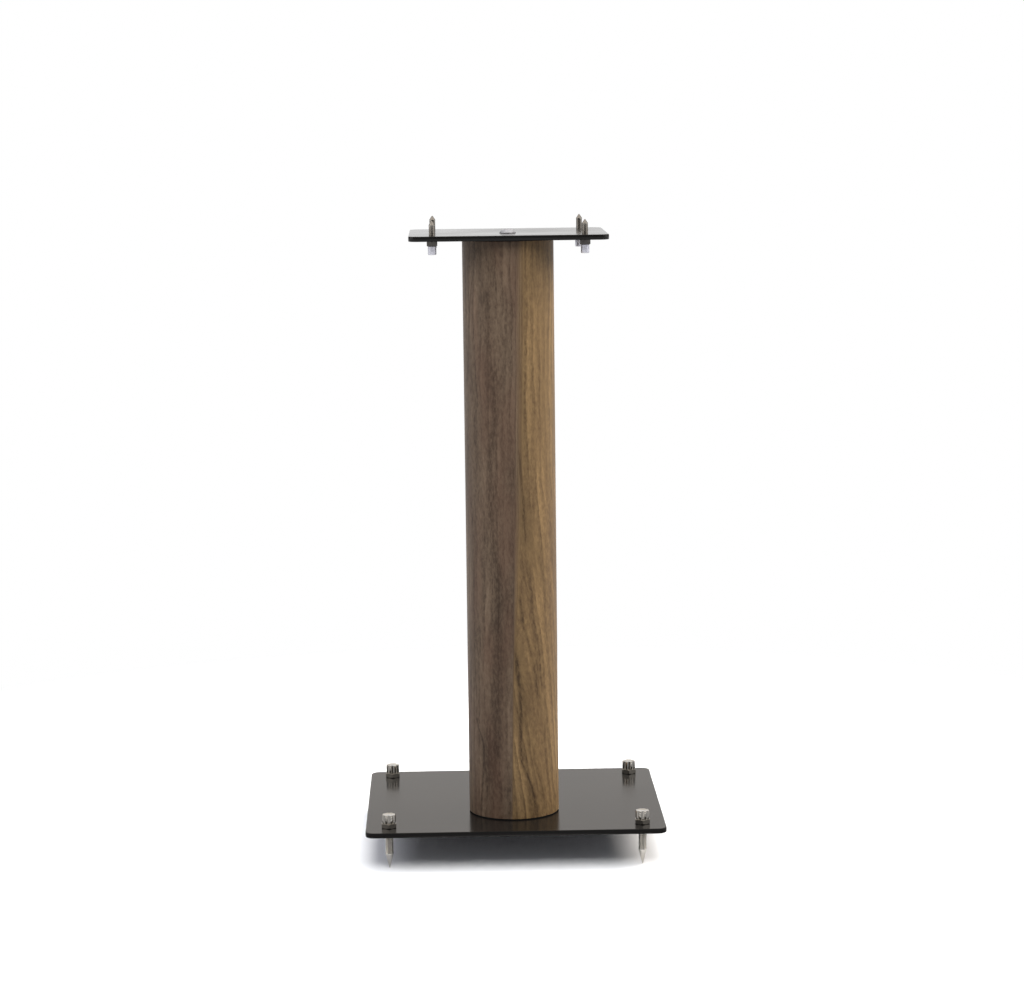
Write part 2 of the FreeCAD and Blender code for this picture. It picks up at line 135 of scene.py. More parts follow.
def walnutVeneer():
    look = veneerLook
    material, tree = newMaterial("lacquered walnut veneer")
    uv = addNode(tree, "ShaderNodeUVMap", uv_map="grain")
    inMm = addNode(tree, "ShaderNodeVectorMath", [uv, (1000, 1000, 1000)], operation="MULTIPLY")
    around = addNode(tree, "ShaderNodeSeparateXYZ", [inMm])
    up = around.node.outputs["Y"]

    # the two leaves and the joint between them
    lean = (look["jointTop"] - look["jointFoot"]) / columnTall
    jointAt = addNode(tree, "ShaderNodeMath", [up, lean, look["jointFoot"]], operation="MULTIPLY_ADD")
    fromJoint = addNode(tree, "ShaderNodeMath", [around, jointAt], operation="SUBTRACT")
    blend = addNode(tree, "ShaderNodeMapRange", [up, *look["blendUp"], *look["blendWide"]])
    rightLeaf = addNode(tree, "ShaderNodeMapRange", [fromJoint, look["blendBefore"], blend],
                        interpolation_type="SMOOTHSTEP")
    under = addNode(tree, "ShaderNodeMath", [up, look["leanBelow"]], operation="MINIMUM")
    under = addNode(tree, "ShaderNodeMath", [under, look["lean"]], operation="MULTIPLY")
    bent = addNode(tree, "ShaderNodeMath", [under, rightLeaf, around], operation="MULTIPLY_ADD")

    # the noise layers; once the broad one is made, the grain wavers
    layers = {}
    for name, (wide, tall, seed, detail) in look["layers"].items():
        across = addNode(tree, "ShaderNodeMath", [bent, wide], operation="DIVIDE")
        along = addNode(tree, "ShaderNodeMath", [up, tall], operation="DIVIDE")
        place = addNode(tree, "ShaderNodeCombineXYZ", [across, along, seed])
        layers[name] = addNode(tree, "ShaderNodeTexNoise", {
            "Vector": place, "Scale": 1.0, "Detail": detail, "Roughness": 0.6})
        if name == "broad":
            for source, swing in look["waver"].items():
                offset = addNode(tree, "ShaderNodeMath", [layers[source], 0.5], operation="SUBTRACT")
                bent = addNode(tree, "ShaderNodeMath", [offset, swing, bent], operation="MULTIPLY_ADD")

    # growth rings: each darkens slowly and ends sharply, and they fade in and out in patches
    rings = addNode(tree, "ShaderNodeMath", [bent, 1 / look["ringWide"]], operation="MULTIPLY")
    rings = addNode(tree, "ShaderNodeMath", [layers["figure"], look["ringBend"], rings],
                    operation="MULTIPLY_ADD")
    rings = addNode(tree, "ShaderNodeMath", [rings], operation="FRACT")
    rise = addNode(tree, "ShaderNodeMapRange", [rings, 0.1, 0.85], interpolation_type="SMOOTHSTEP")
    fall = addNode(tree, "ShaderNodeMapRange", [rings, 0.85, 1.0, 1.0, 0.0],
                   interpolation_type="SMOOTHSTEP")
    rings = addNode(tree, "ShaderNodeMath", [rise, fall], operation="MULTIPLY")
    patch = addNode(tree, "ShaderNodeMapRange", [
        layers["broad"], 0.4, 0.6, look["ringFaint"], look["ringStrength"]])
    rings = addNode(tree, "ShaderNodeMath", [rings, patch], operation="MULTIPLY")

    # tone from pale to dark, and a tint that wanders between grey brown and red brown
    tone = 0.0
    for name, part in look["tonePart"].items():
        tone = addNode(tree, "ShaderNodeMath", [layers[name], part, tone], operation="MULTIPLY_ADD")
    tone = addNode(tree, "ShaderNodeMapRange", [tone, look["toneFrom"], look["toneTo"]])
    red = addNode(tree, "ShaderNodeMapRange", [layers["sway"], 0.42, 0.62, 0.0, look["redMost"]])
    leaves = []
    for side in ("left", "right"):
        plain = addNode(tree, "ShaderNodeMix", {
            0: tone, 6: linear(look[side + "Dark"]), 7: linear(look[side + "Light"])},
            out=2, data_type="RGBA")
        leaves.append(addNode(tree, "ShaderNodeMix", {0: red, 6: plain, 7: linear(look[side + "Red"])},
                              out=2, data_type="RGBA"))
    colour = addNode(tree, "ShaderNodeMix", {0: rightLeaf, 6: leaves[0], 7: leaves[1]},
                     out=2, data_type="RGBA")

    # the growth lines that stand out, each along its own path
    share = addNode(tree, "ShaderNodeMath", [up, 1 / columnTall], operation="MULTIPLY")
    dark = rings
    for half, strength, path in growthLines:
        placed = addNode(tree, "ShaderNodeFloatCurve", {"Factor": 1.0, "Value": share})
        mapping = placed.node.mapping
        mapping.use_clip = False
        points = mapping.curves[0].points
        spots = [(height / columnTall, place / curveSpan + 0.5) for height, place in reversed(path)]
        points[0].location, points[1].location = spots[0], spots[-1]
        for spot in spots[1:-1]:
            points.new(*spot)
        mapping.update()
        wobble = addNode(tree, "ShaderNodeMath", [
            layers["kink"], look["lineWaver"], -0.5 - look["lineWaver"] / 2], operation="MULTIPLY_ADD")
        placed = addNode(tree, "ShaderNodeMath", [placed, wobble], operation="ADD")
        away = addNode(tree, "ShaderNodeMath", [placed, -curveSpan, around], operation="MULTIPLY_ADD")
        away = addNode(tree, "ShaderNodeMath", [away], operation="ABSOLUTE")
        line = addNode(tree, "ShaderNodeMapRange", [away, 0.0, half, strength, 0.0],
                       interpolation_type="SMOOTHSTEP")
        for edge, inside in ((path[0][0], -1), (path[-1][0], 1)):
            window = addNode(tree, "ShaderNodeMapRange", [up, edge, edge + inside * look["lineFade"]],
                             interpolation_type="SMOOTHSTEP")
            line = addNode(tree, "ShaderNodeMath", [line, window], operation="MULTIPLY")
        dark = addNode(tree, "ShaderNodeMath", [dark, line], operation="MAXIMUM")
    joint = addNode(tree, "ShaderNodeMath", [fromJoint], operation="ABSOLUTE")
    joint = addNode(tree, "ShaderNodeMapRange", [joint, 0.0, look["jointWide"], look["joint"], 0.0])
    dark = addNode(tree, "ShaderNodeMath", [dark, joint], operation="MAXIMUM")
    # the lines break up with the grain
    broken = addNode(tree, "ShaderNodeMapRange", [layers["fleck"], 0.35, 0.65, 1.0, 0.62])
    dark = addNode(tree, "ShaderNodeMath", [dark, broken], operation="MULTIPLY")
    pores = addNode(tree, "ShaderNodeMapRange", [
        layers["pores"], look["poreFrom"], look["poreTo"], 0.0, look["poreDark"]])
    dark = addNode(tree, "ShaderNodeMath", [dark, pores], operation="MAXIMUM")
    colour = addNode(tree, "ShaderNodeMix", {0: dark, 6: colour, 7: linear(look["lineColour"])},
                     out=2, data_type="RGBA")
    height = addNode(tree, "ShaderNodeMath", [pores, -1.0, layers["grain"]], operation="MULTIPLY_ADD")
    bump = addNode(tree, "ShaderNodeBump", {
        "Strength": look["relief"], "Distance": look["reliefDeep"] * mm, "Height": height})
    finishMaterial(tree, {"Base Color": colour, "Roughness": look["roughness"],
                          "Specular IOR Level": look["gloss"], "IOR": 1.45, "Normal": bump})
    return material


# Steel plate, powder coated satin black: a film with a fine orange peel that softens reflections.
coatLook = {"colour": "#121110", "paler": 1.25, "roughness": 0.17, "rougher": (-0.02, 0.03),
            "ior": 1.29, "peel": 1.6, "relief": 0.08, "reliefDeep": 0.02}  # peel and depth in mm


def satinBlackPowderCoat():
    look = coatLook
    material, tree = newMaterial("satin black powder coat")
    place = addNode(tree, "ShaderNodeTexCoord", out=3)
    peel = addNode(tree, "ShaderNodeTexNoise", {
        "Vector": place, "Scale": 1 / (look["peel"] * mm), "Detail": 2.0})
    cloud = addNode(tree, "ShaderNodeTexNoise", {"Vector": place, "Scale": 14.0, "Detail": 3.0})
    rough = addNode(tree, "ShaderNodeMapRange", [
        cloud, 0.3, 0.7, *[look["roughness"] + more for more in look["rougher"]]])
    dark = linear(look["colour"])
    pale = [share * look["paler"] for share in dark[:3]] + [1.0]
    colour = addNode(tree, "ShaderNodeMix", {0: peel, 6: dark, 7: pale}, out=2, data_type="RGBA")
    bump = addNode(tree, "ShaderNodeBump", {
        "Strength": look["relief"], "Distance": look["reliefDeep"] * mm, "Height": peel})
    finishMaterial(tree, {"Base Color": colour, "Roughness": rough, "IOR": look["ior"], "Normal": bump})
    return material


def platedMetal(name, light, deep, roughness, lineScale, metallic=1.0):
    # turned, polished and plated: faint turning lines round the axis show as bands of gloss
    material, tree = newMaterial(name)
    place = addNode(tree, "ShaderNodeTexCoord", out=3)
    height = addNode(tree, "ShaderNodeSeparateXYZ", [place], out=2)
    along = addNode(tree, "ShaderNodeMath", [height, 1 / (lineScale * mm)], operation="MULTIPLY")
    lines = addNode(tree, "ShaderNodeTexNoise", {"W": along, "Scale": 1.0, "Detail": 2.0},
                    noise_dimensions="1D")
    # fingering and polish leave soft smears about 6 mm wide
    smear = addNode(tree, "ShaderNodeTexNoise", {"Vector": place, "Scale": 160.0, "Detail": 2.0})
    rough = addNode(tree, "ShaderNodeMath", [lines, smear], operation="MULTIPLY")
    rough = addNode(tree, "ShaderNodeMapRange", [rough, 0.1, 0.45, roughness * 0.75, roughness * 1.35])
    colour = addNode(tree, "ShaderNodeMix", {0: smear, 6: linear(light), 7: linear(deep)},
                     out=2, data_type="RGBA")
    bump = addNode(tree, "ShaderNodeBump", {"Strength": 0.15, "Distance": 0.00001, "Height": lines})
    finishMaterial(tree, {"Base Color": colour, "Metallic": metallic, "Roughness": rough, "Normal": bump})
    return material


def plainMatter(name, dark, light, grain, roughness, metallic=0.0):
    # a bare, even stuff with a fine grain of the given size in mm, for the inner pieces and screws
    material, tree = newMaterial(name)
    place = addNode(tree, "ShaderNodeTexCoord", out=3)
    speck = addNode(tree, "ShaderNodeTexNoise", {
        "Vector": place, "Scale": 1 / (grain * mm), "Detail": 4.0})
    colour = addNode(tree, "ShaderNodeMix", {0: speck, 6: linear(dark), 7: linear(light)},
                     out=2, data_type="RGBA")
    bump = addNode(tree, "ShaderNodeBump", {"Strength": 0.2, "Distance": 0.00003, "Height": speck})
    finishMaterial(tree, {
        "Base Color": colour, "Roughness": roughness, "Metallic": metallic, "Normal": bump})
    return material


walnut = walnutVeneer()
coat = satinBlackPowderCoat()
# bright and mirror-like, on the floor spikes and their fluted heads
nickel = platedMetal("polished nickel plate", "#dbd8d2", "#bfbbb4", roughness=0.14, lineScale=0.5)
# a greyer mirror, on the floor spikes' nuts
nutNickel = platedMetal("nickel plated lock nut", "#9c9993", "#7d7a75", roughness=0.12, lineScale=0.5)
# nearly black, with a soft shine
darkNickel = platedMetal("dark nickel plate", "#5c5956", "#454341", roughness=0.30, lineScale=0.4)
# cool grey with a blurred shine; the two below are duller, part metal and part passivated film
zinc = platedMetal("bright zinc plate", "#aca8a2", "#8a8680", roughness=0.22, lineScale=0.4)
satinZinc = platedMetal("satin zinc plate", "#a8a8ab", "#98989b", roughness=0.45, lineScale=0.5,
                        metallic=0.6)
mattZinc = platedMetal("matt zinc plate", "#e6e6ef", "#d6d6e0", roughness=0.45, lineScale=0.5,
                       metallic=0.7)
# oil-black steel with a faint shine, and dull black rubber
blackScrew = plainMatter("black oxide steel", "#141414", "#232323", grain=0.8, roughness=0.45)
rubber = plainMatter("gasket rubber", "#0e0e0e", "#1a1a1a", grain=0.6, roughness=0.8)
# inside: matt brown board with short fibres, pale close-grained wood, and fresh yellow brass
fibreboard = plainMatter("bare fibreboard tube", "#8a6f4e", "#a98b66", grain=0.7, roughness=0.85)
blockWood = plainMatter("bare turned beech", "#b08d62", "#cba97c", grain=1.2, roughness=0.7)
brass = plainMatter("turned brass insert", "#b08a4a", "#c9a35e", grain=0.5, roughness=0.3, metallic=1.0)
print("materials made")


def addObject(name, data):
    piece = bpy.data.objects.new(name, data)
    bpy.context.scene.collection.objects.link(piece)
    return piece


def sharpEdges(piece, angle=35):
    piece.data.set_sharp_from_angle(angle=math.radians(angle))


def meshObject(name, verts, faces, material, sharpAngle=35):
    mesh = bpy.data.meshes.new(name)
    mesh.from_pydata(verts, [], faces)
    shaped = bmesh.new()
    shaped.from_mesh(mesh)
    bmesh.ops.remove_doubles(shaped, verts=shaped.verts, dist=1e-7)
    bmesh.ops.recalc_face_normals(shaped, faces=shaped.faces)
    shaped.to_mesh(mesh)
    shaped.free()
    for face in mesh.polygons:
        face.use_smooth = True
    mesh.materials.append(material)
    piece = addObject(name, mesh)
    sharpEdges(piece, sharpAngle)
    return piece


# steps round a fluted head, other turned pieces, a foot screw and a hole
fluteSteps, turnSteps, screwSteps, holeSteps = 192, 144, 72, 48


def turnedRows(rows, steps=turnSteps):
    # rows: (radius, height, width across flats or None) in mm, from one end of the profile to the
    # other. A row with a width is cut off by a hexagon of that width.
    verts, faces, rings = [], [], []
    for radius, height, across in rows:
        ring = []
        if radius == 0:
            verts.append((0, 0, height * mm))
            ring = [len(verts) - 1] * steps
        else:
            for step in range(steps):
                angle = 2 * math.pi * step / steps
                reach = radius
                if across:
                    fold = (angle + math.pi / 6) % (math.pi / 3) - math.pi / 6
                    reach = min(radius, across / 2 / math.cos(fold))
                verts.append((reach * mm * math.cos(angle), reach * mm * math.sin(angle), height * mm))
                ring.append(len(verts) - 1)
        rings.append(ring)
    for lower, upper in zip(rings, rings[1:]):
        for step in range(steps):
            after = (step + 1) % steps
            face = []
            for corner in (lower[step], lower[after], upper[after], upper[step]):
                if corner not in face:
                    face.append(corner)
            if len(face) > 2:
                faces.append(face)
    return verts, faces


def movedTo(piece, x, y, z, flip=False):
    # puts the place into the mesh, in mm, so that the object stays at the origin
    turn = Matrix.Rotation(math.pi, 4, "X") if flip else Matrix.Identity(4)
    piece.data.transform(Matrix.Translation((x * mm, y * mm, z * mm)) @ turn)
    return piece


def rideAndStandFor(piece, body, node):
    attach(piece, body)
    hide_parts(node)


def asMesh(name, source, material=None):
    # the evaluated object as a plain mesh, with its modifiers gone
    evaluated = source.evaluated_get(bpy.context.evaluated_depsgraph_get())
    mesh = bpy.data.meshes.new_from_object(evaluated)
    mesh.name = name
    bpy.data.objects.remove(source)
    if material:
        mesh.materials.clear()
        mesh.materials.append(material)
    return addObject(name, mesh)


def nodeTree(name, inputs):
    # a geometry tree with a geometry output and the named inputs
    tree = bpy.data.node_groups.new(name, "GeometryNodeTree")
    tree.interface.new_socket(name="Geometry", in_out="OUTPUT", socket_type="NodeSocketGeometry")
    for label, kind, value in inputs:
        socket = tree.interface.new_socket(name=label, in_out="INPUT", socket_type="NodeSocket" + kind)
        if value is not None:
            socket.default_value = value
    source = tree.nodes.new("NodeGroupInput")
    return tree, {socket.name: socket for socket in source.outputs if socket.name}


def closeTree(tree, geometry, material):
    real = addNode(tree, "GeometryNodeRealizeInstances", [geometry])
    real = addNode(tree, "GeometryNodeSetMaterial", {"Geometry": real, "Material": material})
    addNode(tree, "NodeGroupOutput", [real])


def runTree(name, tree, values, base=None):
    # a mesh object shaped by the tree, with its inputs set by the sockets' identifiers
    holder = base or addObject(name + "_source", bpy.data.meshes.new(name))
    modifier = holder.modifiers.new("rule", "NODES")
    modifier.node_group = tree
    for socket in tree.interface.items_tree:
        if socket.in_out == "INPUT" and socket.name in values:
            modifier[socket.identifier] = values[socket.name]
    return asMesh(name, holder)


# plates
plateLook = {"thick": 5.0, "corner": 9.0, "ease": 0.8, "support": 0.6, "easeSteps": 5, "cornerSteps": 14}
basePlate = {"wide": 290.0, "deep": 250.0, "foot": 35.0, "middleY": 0.0}
topPlate = {"wide": 190.0, "deep": 150.0, "foot": 603.0, "middleY": -20.0}
# where the spikes and the column stand, in mm
floorX, floorY = 122.5, 102.5
pointX, pointY, topMiddle = 72.5, 59.0, topPlate["middleY"]
columnY = -40.0


def steelPlate(name, sizes, holes):
    # a rounded plate from stacked outlines, then drilled; holes: (x, y, radius, countersink radius)
    look = plateLook
    thick, foot = look["thick"], sizes["foot"]
    outlines = []
    ease, count = look["ease"], look["easeSteps"]
    rows = [(ease + look["support"], 0)]
    bends = [math.pi / 2 * k / count for k in range(count + 1)]
    rows += [(ease * (1 - math.sin(bend)), ease * (1 - math.cos(bend))) for bend in bends]
    rows += [(inset, thick - height) for inset, height in reversed(rows)]
    verts, faces = [], []
    for inset, height in rows:
        start = len(verts)
        radius = look["corner"] - inset
        for quarter, (sideX, sideY) in enumerate(((1, 1), (-1, 1), (-1, -1), (1, -1))):
            for k in range(look["cornerSteps"] + 1):
                angle = math.pi / 2 * (quarter + k / look["cornerSteps"])
                x = sideX * (sizes["wide"] / 2 - look["corner"]) + radius * math.cos(angle)
                y = sideY * (sizes["deep"] / 2 - look["corner"]) + radius * math.sin(angle)
                verts.append((x * mm, (y + sizes["middleY"]) * mm, (foot + height) * mm))
        outlines.append(list(range(start, len(verts))))
    size = len(outlines[0])
    for lower, upper in zip(outlines, outlines[1:]):
        for k in range(size):
            faces.append((lower[k], lower[(k + 1) % size], upper[(k + 1) % size], upper[k]))
    faces.append(list(reversed(outlines[0])))
    faces.append(outlines[-1])
    plate = meshObject(name, verts, faces, coat)
    cutters = []
    for x, y, radius, sink in holes:
        # the cutter stands 1 to 2 mm out of the plate, and a countersink's sides slope at 45 degrees
        rows = [(0, -2, None), (radius, -2, None), (radius, thick + 2, None), (0, thick + 2, None)]
        if sink:
            rows = [(0, -1, None), (sink + 1, -1, None), (radius, sink - radius, None),
                    (radius, thick + 2, None), (0, thick + 2, None)]
        cutters.append(movedTo(meshObject("cutter", *turnedRows(rows, holeSteps), coat), x, y, foot))
    tool = bmesh.new()
    for cutter in cutters:
        tool.from_mesh(cutter.data)
        bpy.data.objects.remove(cutter)
    toolMesh = bpy.data.meshes.new("holes")
    tool.to_mesh(toolMesh)
    tool.free()
    toolObject = addObject("holes", toolMesh)
    drill = plate.modifiers.new("drill", "BOOLEAN")
    drill.operation, drill.solver, drill.object = "DIFFERENCE", "EXACT", toolObject
    drilled = asMesh(name, plate, coat)
    bpy.data.objects.remove(toolObject)
    sharpEdges(drilled)
    rideAndStandFor(drilled, "stand", name.replace("_look", ""))


# holes in mm: radius, and the countersink's radius where there is one
holeLook = {"floorSpike": 4.06, "speakerSpike": 3.06, "topBolt": 4.2, "footScrew": 3.2, "screwSink": 6.05}
screwRing = 19.0  # mm from the column's axis to the foot screws
screwSide = screwRing * math.cos(math.pi / 4)
baseHoles = [(sx * floorX, sy * floorY, holeLook["floorSpike"], None) for sx, sy in corners.values()]
baseHoles += [(sx * screwSide, columnY + sy * screwSide, holeLook["footScrew"], holeLook["screwSink"])
              for sx, sy in corners.values()]
steelPlate("base_plate_look", basePlate, baseHoles)
topHoles = [(sx * pointX, topMiddle + sy * pointY, holeLook["speakerSpike"], None)
            for sx, sy in corners.values()]
steelPlate("top_plate_look", topPlate, topHoles + [(0, columnY, holeLook["topBolt"], None)])
print("plates made")

# column
columnLook = {"outer": 44.0, "inner": 43.4, "foot": 41.0, "ease": 0.25, "steps": 256}


def veneeredColumn():
    look = columnLook
    outer, inner, ease = look["outer"], look["inner"], look["ease"]
    profile = [(inner, 0), (outer - ease, 0), (outer, ease), (outer, columnTall - ease),
               (outer - ease, columnTall), (inner, columnTall)]
    steps = look["steps"]
    verts, faces, flat = [], [], []
    for step in range(steps):
        # the count starts at the back, so that the front line is the middle of the map
        angle = -1.5 * math.pi + 2 * math.pi * step / steps
        for radius, height in profile:
            verts.append((radius * mm * math.cos(angle), (columnY + radius * math.sin(angle)) * mm,
                          (look["foot"] + height) * mm))
    count = len(profile)
    for step in range(steps):
        for k in range(count):
            here, there = step * count, (step + 1) % steps * count
            faces.append((here + k, there + k, there + (k + 1) % count, here + (k + 1) % count))
            left = (step / steps - 0.5) * 2 * math.pi * outer * mm
            right = ((step + 1) / steps - 0.5) * 2 * math.pi * outer * mm
            low, high = profile[k][1] * mm, profile[(k + 1) % count][1] * mm
            flat.append(((left, low), (right, low), (right, high), (left, high)))
    mesh = bpy.data.meshes.new("column_veneer_look")
    mesh.from_pydata(verts, [], faces)
    layer = mesh.uv_layers.new(name="grain")
    for face, spots in zip(mesh.polygons, flat):
        face.use_smooth = True
        for loop, spot in zip(face.loop_indices, spots):
            layer.data[loop].uv = spot
    mesh.materials.append(walnut)
    piece = addObject("column_veneer_look", mesh)
    sharpEdges(piece)
    rideAndStandFor(piece, "stand", "column_veneer")


veneeredColumn()
print("column made")


# spike rods: plain shank, cone and right-hand thread, by rule
floorRod = {"Length": 50.0, "Radius": 4.0, "Root": 3.4, "Pitch": 1.25, "Thread from": 14.5,
            "Cone": 14.0, "Tip": 0.4}
pointRod = {"Length": 28.0, "Radius": 3.0, "Root": 2.82, "Pitch": 1.0, "Thread from": 4.5,
            "Cone": 4.0, "Tip": 0.4}
rodSteps, rowsPerPitch = 48, 10


def threadTree():
    inputs = [(name, "Float", value) for name, value in floorRod.items()]
    inputs += [("Rows", "Int", 400), ("Steps", "Int", rodSteps), ("Material", "Material", None)]
    tree, given = nodeTree("threaded_rod", inputs)
    columns = addNode(tree, "ShaderNodeMath", [given["Steps"], 1.0], operation="ADD")
    grid = addNode(tree, "GeometryNodeMeshGrid", {
        "Size X": 1.0, "Size Y": 1.0, "Vertices X": columns, "Vertices Y": given["Rows"]})
    position = addNode(tree, "GeometryNodeInputPosition")
    across = addNode(tree, "ShaderNodeSeparateXYZ", [position])
    along = across.node.outputs["Y"]
    share = addNode(tree, "ShaderNodeMath", [along, 0.5], operation="ADD")
    turn = addNode(tree, "ShaderNodeMath", [across, 0.5], operation="ADD")
    angle = addNode(tree, "ShaderNodeMath", [turn, 2 * math.pi], operation="MULTIPLY")
    height = addNode(tree, "ShaderNodeMath", [share, given["Length"]], operation="MULTIPLY")
    # thread: a triangle wave along the helix, with its crests and roots cut flat
    helix = addNode(tree, "ShaderNodeMath", [height, given["Pitch"]], operation="DIVIDE")
    helix = addNode(tree, "ShaderNodeMath", [helix, turn], operation="SUBTRACT")
    wave = addNode(tree, "ShaderNodeMath", [helix], operation="FRACT")
    wave = addNode(tree, "ShaderNodeMath", [wave, 2.0, -1.0], operation="MULTIPLY_ADD")
    wave = addNode(tree, "ShaderNodeMath", [wave], operation="ABSOLUTE")
    wave = addNode(tree, "ShaderNodeMapRange", [wave, 0.12, 0.88, given["Root"], given["Radius"]])
    runOut = addNode(tree, "ShaderNodeMath", [given["Thread from"], given["Pitch"]], operation="ADD")
    threaded = addNode(tree, "ShaderNodeMapRange", [height, given["Thread from"], runOut])
    depth = addNode(tree, "ShaderNodeMath", [wave, given["Radius"]], operation="SUBTRACT")
    radius = addNode(tree, "ShaderNodeMath", [depth, threaded, given["Radius"]], operation="MULTIPLY_ADD")
    cone = addNode(tree, "ShaderNodeMapRange", [
        height, 0.0, given["Cone"], given["Tip"], given["Radius"]])
    radius = addNode(tree, "ShaderNodeMath", [radius, cone], operation="MINIMUM")
    # both ends close on the axis
    inside = addNode(tree, "ShaderNodeMath", [along], operation="ABSOLUTE")
    inside = addNode(tree, "ShaderNodeMath", [inside, 0.49999], operation="LESS_THAN")
    radius = addNode(tree, "ShaderNodeMath", [radius, inside], operation="MULTIPLY")
    cosine = addNode(tree, "ShaderNodeMath", [angle], operation="COSINE")
    sine = addNode(tree, "ShaderNodeMath", [angle], operation="SINE")
    x = addNode(tree, "ShaderNodeMath", [radius, cosine], operation="MULTIPLY")
    y = addNode(tree, "ShaderNodeMath", [radius, sine], operation="MULTIPLY")
    place = addNode(tree, "ShaderNodeCombineXYZ", [x, y, height])
    place = addNode(tree, "ShaderNodeVectorMath", {0: place, "Scale": mm}, operation="SCALE")
    shaped = addNode(tree, "GeometryNodeSetPosition", {"Geometry": grid, "Position": place})
    shaped = addNode(tree, "GeometryNodeMergeByDistance", {"Geometry": shaped, "Distance": 1e-6})
    shaped = addNode(tree, "GeometryNodeSetShadeSmooth", {"Geometry": shaped})
    closeTree(tree, shaped, given["Material"])
    return tree


threads = threadTree()


def spikeRod(name, sizes, material, x, y, z, flip):
    values = dict(sizes)
    values["Rows"] = round(sizes["Length"] / sizes["Pitch"] * rowsPerPitch)
    values["Steps"] = rodSteps
    values["Material"] = material
    rod = runTree(name, threads, values)
    shaped = bmesh.new()
    shaped.from_mesh(rod.data)
    bmesh.ops.recalc_face_normals(shaped, faces=shaped.faces)
    shaped.to_mesh(rod.data)
    shaped.free()
    return movedTo(rod, x, y, z, flip)


# fluted heads, lock nuts and key heads; the flutes are round hollows, set out from the rim
headLook = {"radius": 6.75, "tall": 8.0, "bore": 4.06, "boreDeep": 5.0,
            "flutes": 8.0, "fluteRadius": 2.0, "fluteDeep": 1.1}
fluteMiddle = headLook["radius"] + headLook["fluteRadius"] - headLook["fluteDeep"]


def fluteTree():
    tree, given = nodeTree("fluted_grip", [
        ("Blank", "Geometry", None), ("Count", "Float", headLook["flutes"]),
        ("Flute", "Float", headLook["fluteRadius"]), ("Middle", "Float", fluteMiddle),
        ("Material", "Material", None)])
    position = addNode(tree, "GeometryNodeInputPosition")
    x = addNode(tree, "ShaderNodeSeparateXYZ", [position])
    y, z = x.node.outputs["Y"], x.node.outputs["Z"]
    angle = addNode(tree, "ShaderNodeMath", [y, x], operation="ARCTAN2")
    half = addNode(tree, "ShaderNodeMath", [math.pi, given["Count"]], operation="DIVIDE")
    minus = addNode(tree, "ShaderNodeMath", [half, -1.0], operation="MULTIPLY")
    fold = addNode(tree, "ShaderNodeMath", [angle, half, minus], operation="WRAP")
    cosine = addNode(tree, "ShaderNodeMath", [fold], operation="COSINE")
    sine = addNode(tree, "ShaderNodeMath", [fold], operation="SINE")
    # where a ray at this angle enters the flute's circle
    off = addNode(tree, "ShaderNodeMath", [given["Middle"], sine], operation="MULTIPLY")
    off = addNode(tree, "ShaderNodeMath", [off, off], operation="MULTIPLY")
    square = addNode(tree, "ShaderNodeMath", [given["Flute"], given["Flute"]], operation="MULTIPLY")
    inside = addNode(tree, "ShaderNodeMath", [square, off], operation="SUBTRACT")
    hit = addNode(tree, "ShaderNodeMath", [inside, 0.0], operation="GREATER_THAN")
    inside = addNode(tree, "ShaderNodeMath", [inside, 0.0], operation="MAXIMUM")
    root = addNode(tree, "ShaderNodeMath", [inside], operation="SQRT")
    enter = addNode(tree, "ShaderNodeMath", [given["Middle"], cosine], operation="MULTIPLY")
    enter = addNode(tree, "ShaderNodeMath", [enter, root], operation="SUBTRACT")
    miss = addNode(tree, "ShaderNodeMath", [hit, -100.0, 100.0], operation="MULTIPLY_ADD")
    limit = addNode(tree, "ShaderNodeMath", [enter, miss], operation="ADD")
    limit = addNode(tree, "ShaderNodeMath", [limit, mm], operation="MULTIPLY")
    flatPlace = addNode(tree, "ShaderNodeCombineXYZ", [x, y, 0.0])
    reach = addNode(tree, "ShaderNodeVectorMath", [flatPlace], out=1, operation="LENGTH")
    kept = addNode(tree, "ShaderNodeMath", [reach, limit], operation="MINIMUM")
    safe = addNode(tree, "ShaderNodeMath", [reach, 1e-9], operation="MAXIMUM")
    ratio = addNode(tree, "ShaderNodeMath", [kept, safe], operation="DIVIDE")
    newX = addNode(tree, "ShaderNodeMath", [x, ratio], operation="MULTIPLY")
    newY = addNode(tree, "ShaderNodeMath", [y, ratio], operation="MULTIPLY")
    place = addNode(tree, "ShaderNodeCombineXYZ", [newX, newY, z])
    shaped = addNode(tree, "GeometryNodeSetPosition", {"Geometry": given["Blank"], "Position": place})
    closeTree(tree, shaped, given["Material"])
    return tree


flutes = fluteTree()


def flutedHead(name, x, y, z):
    look = headLook
    outer, tall, bore, deep = look["radius"], look["tall"], look["bore"], look["boreDeep"]
    rows = [(bore, 0, None)]
    # the rims are rounded in steps listed one by one, in from the radius and in from the ends
    rows += [(outer - inset, height, None) for inset, height in (
        (0.65, 0), (0.3, 0.1), (0.1, 0.3), (0, 0.6), (0, tall / 2))]
    rows += [(outer - inset, tall - drop, None) for inset, drop in (
        (0, 0.8), (0.1, 0.5), (0.35, 0.2), (0.8, 0), (1.45, 0), (1.75, 0.15))]
    rows += [(0, tall - 0.15, None), (0, deep, None), (bore - 0.46, deep, None),
             (bore, deep - 0.3, None), (bore, 0, None)]
    blank = meshObject(name + "_blank", *turnedRows(rows, fluteSteps), nickel)
    head = runTree(name, flutes, {
        "Count": look["flutes"], "Flute": look["fluteRadius"], "Middle": fluteMiddle,
        "Material": nickel}, base=blank)
    sharpEdges(head, 38)
    return movedTo(head, x, y, z)


